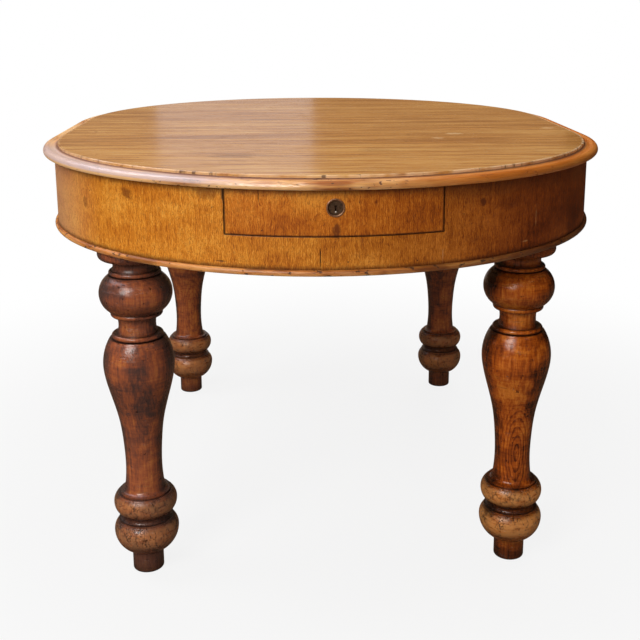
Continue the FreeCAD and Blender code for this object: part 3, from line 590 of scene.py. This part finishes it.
def edge_wood():
    """The moulded edge: grain along its length, a worn nose with a painted highlight, painted shade in the
    step by the boards and a painted reflection at the left front.
    """
    f = Finish("edge_wood")
    along, z, radius = around_table(f)
    tone = grain(f, along, z, radius, width=0.010)
    shade = f.ramp(tone, EDGE_TONES)
    blotch = f.noise(f.vector(along * 7, z * 30, radius * 30))
    shade = f.mix(f.ease(blotch, 0.45, 0.7) * 0.4, shade, EDGE_WEAR["blotch"])
    # Painted shadow in the step below the boards and painted shade in crevices
    step = f.ease(radius, APRON_RADIUS, APRON_RADIUS - 0.0055)
    grime_and_shade = f.larger(f.ease(f.crevice(0.008), 0.20, 0.60), step)
    shade = f.mix(grime_and_shade * 0.85, shade, EDGE_WEAR["grime_and_shade"])
    nicks = f.noise(f.vector(along * 85, z * 150, radius * 150))
    some = f.noise(f.vector(along * 9, z, radius), detail=2.0)
    nicks = f.ease(nicks, 0.61, 0.66) * f.ease(some, 0.40, 0.56)
    shade = f.mix(nicks * 0.85, shade, EDGE_WEAR["nicks"])
    open_pores = pores(f, along, z, radius, width=0.0012, length=0.02)
    shade = f.mix(open_pores * 0.35, shade, EDGE_WEAR["pores"])

    x, y = f.point()[:2]
    tilt = f.facing()[2]
    # Painted reflection of a window on the upward faces at the left front
    painted_reflection = f.ease(x, *EDGE_PAINTED_REFLECTION) * f.ease(y, *EDGE_PAINTED_REFLECTION_DEPTH) * f.ease(tilt, -0.25, 0.25)
    shade = f.mix(painted_reflection * (1.0 - grime_and_shade) * 0.68, shade, EDGE_WEAR["painted_reflection"])
    ruddy = f.ease(x, *EDGE_RUDDY)
    # The nose painted pale: partly wear, partly a painted highlight
    nose = f.ease(radius, EDGE_RADIUS - 0.026, EDGE_RADIUS - 0.012)
    worn_highlight = nose * (1.0 - ruddy) * (1.0 - painted_reflection) * f.ease(blotch, 0.66, 0.44) * (1.0 - nicks)
    shade = f.mix(worn_highlight * 0.85, shade, EDGE_WEAR["worn_highlight"])
    shade = f.mix(ruddy * (1.0 - grime_and_shade) * 0.6, shade, EDGE_WEAR["ruddy"])
    raw = f.ease(tilt, -0.9, -0.98)
    shade = f.mix(raw * 0.5, shade, EDGE_WEAR["raw"])
    roughness = 0.24 + tone * 0.14 + grime_and_shade * 0.35 + nicks * 0.5
    height = tone * 0.25 - nicks * 0.4 - open_pores * 0.3
    return f.complete(shade, roughness, height, depth=0.0008, specular=0.9)


def drawer_outline(f, along, z):
    """A dark line along both sides and the foot of the drawer."""
    from_side = abs(abs(along) - DRAWER_REACH)
    from_foot = abs(z - DRAWER_FOOT)
    beside = f.ease(from_side, 0.0028, 0.0008) * f.ease(z, DRAWER_FOOT - 0.002, DRAWER_FOOT)
    below = f.ease(from_foot, 0.0026, 0.0008) * f.ease(abs(along), DRAWER_REACH + 0.001, DRAWER_REACH)
    return f.larger(beside, below)


def veneer_damage(f, shade, along, z, ragged):
    """Marks, cracks and scratches of the veneer; returns the colour and the cracks."""
    marks = f.spots(along, z, VENEER_MARKS, ragged)
    marks = f.larger(marks, f.spots(along, z, VENEER_SMOOTH_MARKS, ragged * 0.5 + 0.25))
    shade = f.mix(marks * 0.75, shade, VENEER_WEAR["marks"])
    cracks = f.spots(along, z, VENEER_CRACKS, ragged)
    cracks = f.larger(cracks, drawer_outline(f, along, z) * 0.8)
    shade = f.mix(cracks * 0.9, shade, VENEER_WEAR["cracks"])
    scratches = f.spots(along, z, VENEER_SCRATCHES, ragged)
    shade = f.mix(scratches * 0.5, shade, VENEER_WEAR["scratches"])
    return shade, cracks


def veneer_grime(f, x, z, ragged, cloud):
    """Painted shade in corners, under the top, above the bead and in a stretch under the top to the right.
    """
    corners = f.ease(f.crevice(0.012), 0.30, 0.8)
    shade_under_right_top = f.ease(z + (cloud - 0.5) * 0.10, UNDERSIDE - 0.045, UNDERSIDE - 0.005)
    shade_under_right_top = shade_under_right_top * f.ease(x, *VENEER_SHADED)
    high = f.ease(z + (ragged - 0.5) * 0.012, UNDERSIDE - 0.014, UNDERSIDE - 0.001)
    low = f.ease(z + (ragged - 0.5) * 0.008, APRON_FOOT + 0.019, APRON_FOOT + 0.010)
    return f.larger(f.larger(corners, shade_under_right_top * 0.6), f.larger(high * 0.75, low * 0.95))


def veneer(name, tones, red_and_shade):
    """Upright veneer on a curved wall: fine short figure, redder and with painted shade to the right,
    painted shade in corners, under the top and above the bead, a painted reflection at the left, raw
    inside.
    """
    f = Finish(name)
    x = f.point()[0]
    along, z, radius = around_table(f)
    wave = f.noise(f.vector(along * 55, z * 55, radius))
    across = along + (wave - 0.5) * 0.009
    figure = f.noise(f.vector(across * 470, z * 120, radius), detail=4.0, roughness=0.7, distortion=0.7)
    ribs = f.math("SINE", across * 1900.0 + wave * 5.0)
    cloud = f.noise(f.vector(along * 7, z * 13, radius), detail=5.0, roughness=0.6)
    tone = grain(f, z, across, radius, width=0.0035) * 0.42 + figure * 0.50 + ribs * 0.030
    tone = tone + (cloud - 0.5) * 0.55 + 0.056
    shade = f.ramp(tone, tones)
    # Redder and darker to the right: partly the veneer's own colour, partly painted shade
    shade = f.mix(f.ease(x, *VENEER_RED_AND_SHADED) * red_and_shade, shade, f.ramp(tone, RED_AND_SHADED_TONES))
    # Paler and greyer at the left end: a painted reflection
    shade = f.mix(f.ease(x, *VENEER_PAINTED_SHEEN) * 0.5, shade, VENEER_WEAR["dust_and_sheen"])
    dashes = pores(f, z, across, radius, width=0.0011, length=0.012)
    shade = f.mix(dashes * 0.65, shade, VENEER_WEAR["pores"])
    squiggles = f.noise(f.vector(along * 230, z * 150, radius), roughness=0.6, distortion=1.8)
    squiggles = f.ease(squiggles, 0.54, 0.60) * f.ease(cloud, 0.34, 0.52)
    shade = f.mix(squiggles * 0.36, shade, VENEER_WEAR["squiggles"])

    ragged = f.noise(f.vector(along * 130, z * 100, radius), detail=4.0)
    shade, cracks = veneer_damage(f, shade, along, z, ragged)
    holes = worm_holes(f, along, z, radius, spacing=0.017, share=0.45)
    shade = f.mix(holes * 0.8, shade, VENEER_WEAR["holes"])
    # Painted shade in corners, under the top, above the bead and to the right
    grime_and_shade = veneer_grime(f, x, z, ragged, cloud)
    shade = f.mix(grime_and_shade * 0.75, shade, VENEER_WEAR["grime_and_shade"])
    inside = f.ease(radius, APRON_RADIUS - 0.004, APRON_RADIUS - 0.008)
    shade = f.mix(inside, shade, f.ramp(tone, RAW_TONES))
    roughness = 0.30 + figure * 0.14 + dashes * 0.15 + inside * 0.35
    height = figure * 0.3 + tone * 0.3 - dashes * 0.4 - cracks - holes
    return f.complete(shade, roughness, height, depth=0.0004, specular=0.25)


def bead_wood():
    """The bead at the foot of the apron: rubbed pale on its crest, dented along its length, with painted
    shade in its crevices and towards the right.
    """
    f = Finish("bead_wood")
    along, z, radius = around_table(f)
    tone = grain(f, along, z, radius, width=0.006)
    shade = f.ramp(tone, EDGE_TONES)
    crest = f.ease(radius, APRON_RADIUS + 0.002, APRON_RADIUS + 0.0055)
    rub = f.noise(f.vector(along * 16, z * 40, radius), detail=4.0)
    shade = f.mix(crest * f.ease(rub, 0.40, 0.66) * 0.5, shade, BEAD_WEAR["rubbed"])
    shade = f.mix(f.ease(rub, 0.52, 0.36) * 0.6, shade, BEAD_WEAR["dull"])
    # Darker to the right: painted shade
    shade = f.mix(f.ease(f.point()[0], *BEAD_SHADED) * 0.8, shade, BEAD_WEAR["shade_to_right"])
    nicks = f.ease(f.noise(f.vector(along * 75, z * 120, radius * 120)), 0.61, 0.66)
    # Painted shade in the crevices beside the bead; dark nicks as well
    grime_and_shade = f.ease(f.crevice(0.006), 0.25, 0.7)
    shade = f.mix(f.larger(grime_and_shade * 0.85, nicks * 0.8), shade, BEAD_WEAR["grime_and_shade"])
    roughness = 0.34 + tone * 0.14 + nicks * 0.2
    return f.complete(shade, roughness, tone * 0.2 - nicks, depth=0.0008)


def leg_ovals(f, x, y, z, side, middle):
    """The oval figure of a leg's grain: 1 in its dark rings, fading away from the middle."""
    warp = f.noise(f.vector(x * 26, y * 26, z * 14))
    reach = f.length((side - middle[0]) / OVAL_SIZE[0], (z - middle[1]) / OVAL_SIZE[1])
    ring = f.math("FRACT", reach * 5.0 + warp * 1.8)
    late = f.ease(ring, 0.45, 0.90) * f.ease(ring, 1.0, 0.94)
    return late * f.ease(reach, 1.7, 0.7)


def leg_rings(f, shade, turn, z, radius, lower, wear):
    """The lower rings of a leg, worn pale on their crests with painted shade in the hollows between;
    returns the colour and the wear.
    """
    crest = f.ease(radius, RING_HOLLOW, RING_CREST)
    rub = f.noise(f.vector(turn * 2.6, z * 130, radius * 30), detail=5.0, roughness=0.65)
    worn = lower * crest * (f.ease(rub, 0.36, 0.58) * 0.6 + 0.4)
    shade = f.mix(worn * wear, shade, LEG_WEAR["worn"])
    # Painted shade in the hollows between the crests
    shade = f.mix(lower * (1.0 - crest) * 0.6, shade, LEG_WEAR["shaded_hollows"])
    dirty = lower * crest * f.ease(rub, 0.42, 0.34)
    shade = f.mix(dirty * 0.6, shade, LEG_WEAR["dirty"])
    return shade, worn


def leg_wood(node, oval_place, shadow_place, marking, wear, darkness, dust_and_sheen):
    """Turned wood with an oval figure and a painted shadow, painted shade in the grooves, on the sides,
    underside and neck, worn lower rings and a veil of dust and painted reflection.
    """
    f = Finish("wood_" + node)
    low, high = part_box(node)
    middle = (low + high) / 2
    x, y, z = f.point()
    side = x - middle.x
    front = y - middle.y
    radius = f.length(side, front)
    turn = f.math("ARCTAN2", side, front * -1.0)
    facing_front = f.ease(front, 0.005, -0.012)
    figure = leg_ovals(f, x, y, z, side, oval_place) * facing_front * marking
    fibre = grain(f, z, x, y, width=0.005)
    blotch = f.noise(f.vector(x * 14, y * 14, z * 22), detail=5.0, roughness=0.62)
    lathe = f.noise(f.vector(turn * 1.1, z * 230, radius * 20), detail=4.0, roughness=0.7)
    # Painted shade: darker on the sides, away from the front
    shaded_sides = f.ease(abs(front) / radius, 0.85, 0.30)
    tone = fibre * 0.58 + blotch * 0.60 + lathe * 0.26 - shaded_sides * 0.17 - figure - 0.205 - darkness
    ragged = f.noise(f.vector(x * 40, y * 40, z * 24), detail=4.0)
    # A painted shadow on the front of the leg
    painted_shadow = f.spot(side, z, shadow_place, SHADOW_SIZE, ragged) * facing_front
    # The painted shadow, and painted shade high on the neck under the apron, darken the tone
    tone = tone - painted_shadow * 0.10 - f.ease(z, *SHADED_NECK) * 0.045
    shade = f.ramp(tone, LEG_TONES)
    dashes = pores(f, z, x, y, width=0.0013, length=0.014)
    shade = f.mix(dashes * 0.3, shade, LEG_WEAR["pores"])

    bands = f.noise(f.vector(turn * 0.8, z * 60, radius), detail=4.0, roughness=0.7)
    scored = f.ease(lathe, 0.54, 0.66) * f.ease(bands, 0.42, 0.58)
    shade = f.mix(scored * 0.5, shade, LEG_WEAR["scored"])
    lower = f.window(z, RINGS_FOOT, RINGS_HEAD, 0.006)
    shade, worn = leg_rings(f, shade, turn, z, radius, lower, wear)
    shade = f.mix(f.ease(z, *DARK_FOOT) * (0.28 + darkness * 9), shade, LEG_WEAR["foot"])
    # A dull veil of dust and painted reflection haze
    shade = f.mix(dust_and_sheen, shade, LEG_WEAR["dust_and_sheen"])
    # Painted shade on the faces that look down
    under = f.ease(f.facing()[2], 0.05, -0.75)
    shade = f.mix(under * 0.6, shade, LEG_WEAR["under"])
    # Painted shade in the grooves
    grime_and_shade = f.ease(f.crevice(0.045), 0.20, 0.55)
    shade = f.mix(grime_and_shade * 0.92, shade, LEG_WEAR["grime_and_shade"])
    chips = f.ease(f.noise(f.vector(x * 120, y * 120, z * 150), detail=2.0), 0.68, 0.72)
    splits = f.noise(f.vector(turn * 5.0, z * 42, radius), roughness=0.6)
    splits = f.ease(abs(splits - 0.5), 0.020, 0.007) * lower * f.ease(ragged, 0.42, 0.52)
    chips = f.larger(chips, splits)
    shade = f.mix(chips * 0.75, shade, LEG_WEAR["chips"])
    roughness = 0.13 + fibre * 0.14 + worn * 0.16 + grime_and_shade * 0.25
    height = fibre * 0.3 - figure - dashes * 0.3 - chips - scored * 0.5
    return f.complete(shade, roughness, height, depth=0.0007)


def raw_wood(name, tones, direction):
    """Plain unpolished wood of the inner pieces, with saw marks, old dust and painted shade in its corners.
    """
    f = Finish(name)
    x, y, z = f.point()
    places = {"x": (x, y, z), "y": (y, x, z), "z": (z, x, y)}
    along, across, depth = places[direction]
    piece = f.add("ShaderNodeObjectInfo", {}, "Random")
    tone = grain(f, along + piece * 5.0, across, depth, width=0.011) + (piece - 0.5) * 0.16
    shade = f.ramp(tone, tones)
    saw = f.noise(f.vector(along * 260, across * 12, depth * 12), detail=2.0)
    dashes = pores(f, along, across, depth, width=0.0012, length=0.016)
    shade = f.mix(dashes * 0.35, shade, RAW_WEAR["pores"])
    dust = f.noise(f.vector(x, y, z), scale=11.0, detail=4.0)
    # Dust, with painted shade in corners
    grime_and_shade = f.larger(f.ease(f.crevice(0.015), 0.3, 0.8), f.ease(dust, 0.55, 0.8) * 0.5)
    shade = f.mix(grime_and_shade * 0.5, shade, RAW_WEAR["grime_and_shade"])
    height = tone * 0.4 + saw * 0.25 - dashes * 0.3
    return f.complete(shade, 0.66 + tone * 0.2, height, depth=0.0006)


def old_metal(name, bright, dull, roughness, metallic=1.0):
    """Handled metal: rubbed bright in patches, dull and dark where nothing touches it."""
    f = Finish(name)
    place = f.vector(*f.point())
    patch = f.noise(place, scale=160.0, detail=4.0, roughness=0.6)
    fine = f.noise(place, scale=900.0)
    grime_and_shade = f.ease(f.crevice(0.004), 0.3, 0.8)
    tarnish = f.larger(f.ease(patch, 0.40, 0.68) * 0.75, grime_and_shade)
    shade = f.mix(tarnish, bright, dull)
    mottled = tarnish * 0.25 + fine * 0.12 + roughness
    return f.complete(shade, mottled, fine - tarnish * 0.5, depth=0.00015, metallic=metallic)


def dress(nodes, material):
    """Gives a material to model pieces."""
    for name in nodes:
        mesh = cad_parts[name].data
        mesh.materials.clear()
        mesh.materials.append(material)


def both_ends(pattern):
    """The front and back names of a pair of pieces."""
    return [pattern.format(end) for end in ("front", "back")]


def both_sides(pattern):
    """The left and right names of a pair of pieces."""
    return [pattern.format(side) for side in ("left", "right")]


def dress_outside():
    """The polished pieces that show."""
    dress(both_ends("{}_top_boards"), top_wood())
    lengths = both_ends("{}_edge_left") + both_ends("{}_edge_middle") + both_ends("{}_edge_right")
    dress(lengths, edge_wood())
    dress(both_ends("{}_apron"), veneer("apron_wood", APRON_TONES, red_and_shade=0.9))
    dress(["drawer_front"], veneer("drawer_front_wood", DRAWER_TONES, red_and_shade=0.6))
    dress(both_ends("{}_bead"), bead_wood())
    for node, looks in LEGS.items():
        dress([node], leg_wood(node, **looks))


def dress_inside():
    """The bare wood behind the apron and in the drawer."""
    slides = both_sides("front_{}_runner") + both_sides("back_{}_runner") + both_sides("{}_middle_runner")
    dress(slides + both_sides("{}_drawer_runner"), raw_wood("runner_wood", RAW_TONES, "y"))
    blocks = both_sides("front_{}_leg_block") + both_sides("back_{}_leg_block")
    blocks += both_ends("{}_glue_blocks") + ["drawer_stops"]
    dress(blocks, raw_wood("block_wood", RAW_TONES, "z"))
    dress(both_ends("{}_cross_rail"), raw_wood("rail_wood", RAW_TONES, "x"))
    dress(["alignment_pegs"], raw_wood("peg_wood", RAW_TONES, "y"))
    dress(both_sides("drawer_{}_side"), raw_wood("drawer_side_wood", DRAWER_SIDE_TONES, "y"))
    dress(["drawer_back", "drawer_bottom"], raw_wood("drawer_inner_wood", DRAWER_SIDE_TONES, "x"))


def dress_metal():
    """The lock and the screws."""
    dress(["lock_ring"], old_metal("lock_brass", *BRASS))
    dress(["lock_plug"], old_metal("plug_bronze", *BRONZE))
    dress(["plug_pin"], old_metal("pin_steel", *PIN_STEEL, metallic=0.3))
    dress(["lock_case", "lock_bolt"], old_metal("lock_iron", *IRON))
    screws = both_ends("{}_runner_screws") + ["drawer_runner_screws", "lock_screws"]
    dress(screws, old_metal("screw_steel", *SCREW_STEEL))


def flat_sheet(name, start, end):
    """A level or upright rectangle between two opposite corners."""
    (x1, y1, z1), (x2, y2, z2) = start, end
    if z1 == z2:
        corners = [(x1, y1, z1), (x2, y1, z1), (x2, y2, z1), (x1, y2, z1)]
    else:
        corners = [(x1, y1, z1), (x2, y2, z1), (x2, y2, z2), (x1, y1, z2)]
    mesh = bpy.data.meshes.new(name)
    mesh.from_pydata(corners, [], [(0, 1, 2, 3)])
    sheet = bpy.data.objects.new(name, mesh)
    bpy.context.scene.collection.objects.link(sheet)
    return sheet


def seen_directly(tree):
    """1 for rays that reach the eye straight, off a mirror or through glass, and 0 for room light."""
    path = tree.nodes.new("ShaderNodeLightPath")
    total = path.outputs["Is Camera Ray"]
    for name in ("Is Glossy Ray", "Is Transmission Ray"):
        either = tree.nodes.new("ShaderNodeMath")
        either.operation = "MAXIMUM"
        tree.links.new(total, either.inputs[0])
        tree.links.new(path.outputs[name], either.inputs[1])
        total = either.outputs[0]
    return total


def make_world():
    """A white surround that lights the table evenly and gently."""
    world = bpy.data.worlds.new("studio")
    world.use_nodes = True
    tree = world.node_tree
    strength = tree.nodes.new("ShaderNodeMapRange")
    strength.inputs["To Min"].default_value = ROOM_LIGHT
    strength.inputs["To Max"].default_value = 1.0
    tree.links.new(seen_directly(tree), strength.inputs["Value"])
    tree.links.new(strength.outputs["Result"], tree.nodes["Background"].inputs["Strength"])
    tree.nodes["Background"].inputs["Color"].default_value = WHITE
    bpy.context.scene.world = world


def make_floor():
    """A pale floor with a soft shadow that fades to white further out; from below it is clear."""
    half = FLOOR_SIZE / 2
    floor = flat_sheet("floor", (-half, -half, 0.0), (half, half, 0.0))
    f = Finish("floor_white")
    x, y = f.point()[:2]
    away = f.ease(f.length(x, y), FADE_START, FADE_END)
    seen = Value(f, seen_directly(f.material.node_tree))
    share = (away * (1.0 - FLOOR_WHITE) + FLOOR_WHITE) * seen
    paint = f.add("ShaderNodeBsdfDiffuse", {"Color": FLOOR_PAINT})
    glow = f.add("ShaderNodeEmission", {"Color": WHITE, "Strength": 1.0})
    blend = f.add("ShaderNodeMixShader", {0: share, 1: paint, 2: glow})
    below = f.add("ShaderNodeNewGeometry", {}, "Backfacing")
    clear = f.add("ShaderNodeBsdfTransparent", {})
    either = f.add("ShaderNodeMixShader", {0: below, 1: blend, 2: clear})
    f.links.new(either.socket, f.nodes["Material Output"].inputs["Surface"])
    f.nodes.remove(f.shader)
    floor.data.materials.append(f.material)


def make_card(name, start, end, shade, strength=1.0):
    """A card that stands in for a wall or window of the room and shows only in polished surfaces."""
    card = flat_sheet(name, start, end)
    f = Finish(name)
    glow = f.add("ShaderNodeEmission", {"Color": shade, "Strength": strength})
    f.links.new(glow.socket, f.nodes["Material Output"].inputs["Surface"])
    f.nodes.remove(f.shader)
    card.data.materials.append(f.material)
    card.visible_camera = False
    card.visible_diffuse = False
    card.visible_shadow = False
    card.visible_transmission = False


def make_room():
    """What the polish reflects: walls with a pale window, ceiling, carpet, screen and bright windows."""
    for name, (start, end, shade) in WALLS.items():
        make_card(name, (*start, 0.0), (*end, ROOM_HEIGHT), shade)
    levels = {"ceiling": (ROOM_HEIGHT, CEILING_COLOUR), "carpet": (CARPET_HEIGHT, CARPET_COLOUR)}
    for name, (level, shade) in levels.items():
        make_card(name, (-ROOM_SIDE, ROOM_FRONT, level), (ROOM_SIDE, ROOM_BACK, level), shade)
    screen_end = (ROOM_SIDE, SCREEN_PLACE[1], SCREEN_HEIGHT)
    make_card("low_screen", (*SCREEN_PLACE, 0.0), screen_end, SCREEN_COLOUR)
    for name, (start, end, shade, strength) in WINDOWS.items():
        make_card(name, start, end, shade, strength)


def make_lights():
    """Soft rectangular lamps, each pointed at a place on the table."""
    for name, (place, aim, size, power, shade, shines) in LAMPS.items():
        lamp = bpy.data.lights.new(name, "AREA")
        lamp.shape = "RECTANGLE"
        lamp.size, lamp.size_y = size
        lamp.energy = power
        lamp.color = shade
        holder = bpy.data.objects.new(name, lamp)
        holder.location = place
        holder.rotation_euler = (Vector(aim) - Vector(place)).to_track_quat("-Z", "Y").to_euler()
        holder.visible_glossy = shines
        bpy.context.scene.collection.objects.link(holder)


def make_camera():
    """The camera looks a little down on the drawer end of the table."""
    yaw, pitch = CAMERA_YAW, CAMERA_PITCH
    ahead = Vector((math.sin(yaw) * math.cos(pitch), math.cos(yaw) * math.cos(pitch), -math.sin(pitch)))
    right = Vector((math.cos(yaw), -math.sin(yaw), 0.0))
    above = right.cross(ahead)
    x_axis = right * math.cos(CAMERA_ROLL) + above * math.sin(CAMERA_ROLL)
    y_axis = above * math.cos(CAMERA_ROLL) - right * math.sin(CAMERA_ROLL)
    turn = Matrix((x_axis, y_axis, -ahead)).transposed()
    lens = bpy.data.cameras.new("camera")
    lens.lens = CAMERA_LENS
    lens.shift_x, lens.shift_y = CAMERA_SHIFT
    camera = bpy.data.objects.new("camera", lens)
    camera.matrix_world = Matrix.Translation(CAMERA_PLACE) @ turn.to_4x4()
    bpy.context.scene.collection.objects.link(camera)
    bpy.context.scene.camera = camera


dress_outside()
dress_inside()
dress_metal()
make_world()
make_floor()
make_room()
make_lights()
make_camera()
bpy.context.scene.view_settings.view_transform = "Standard"
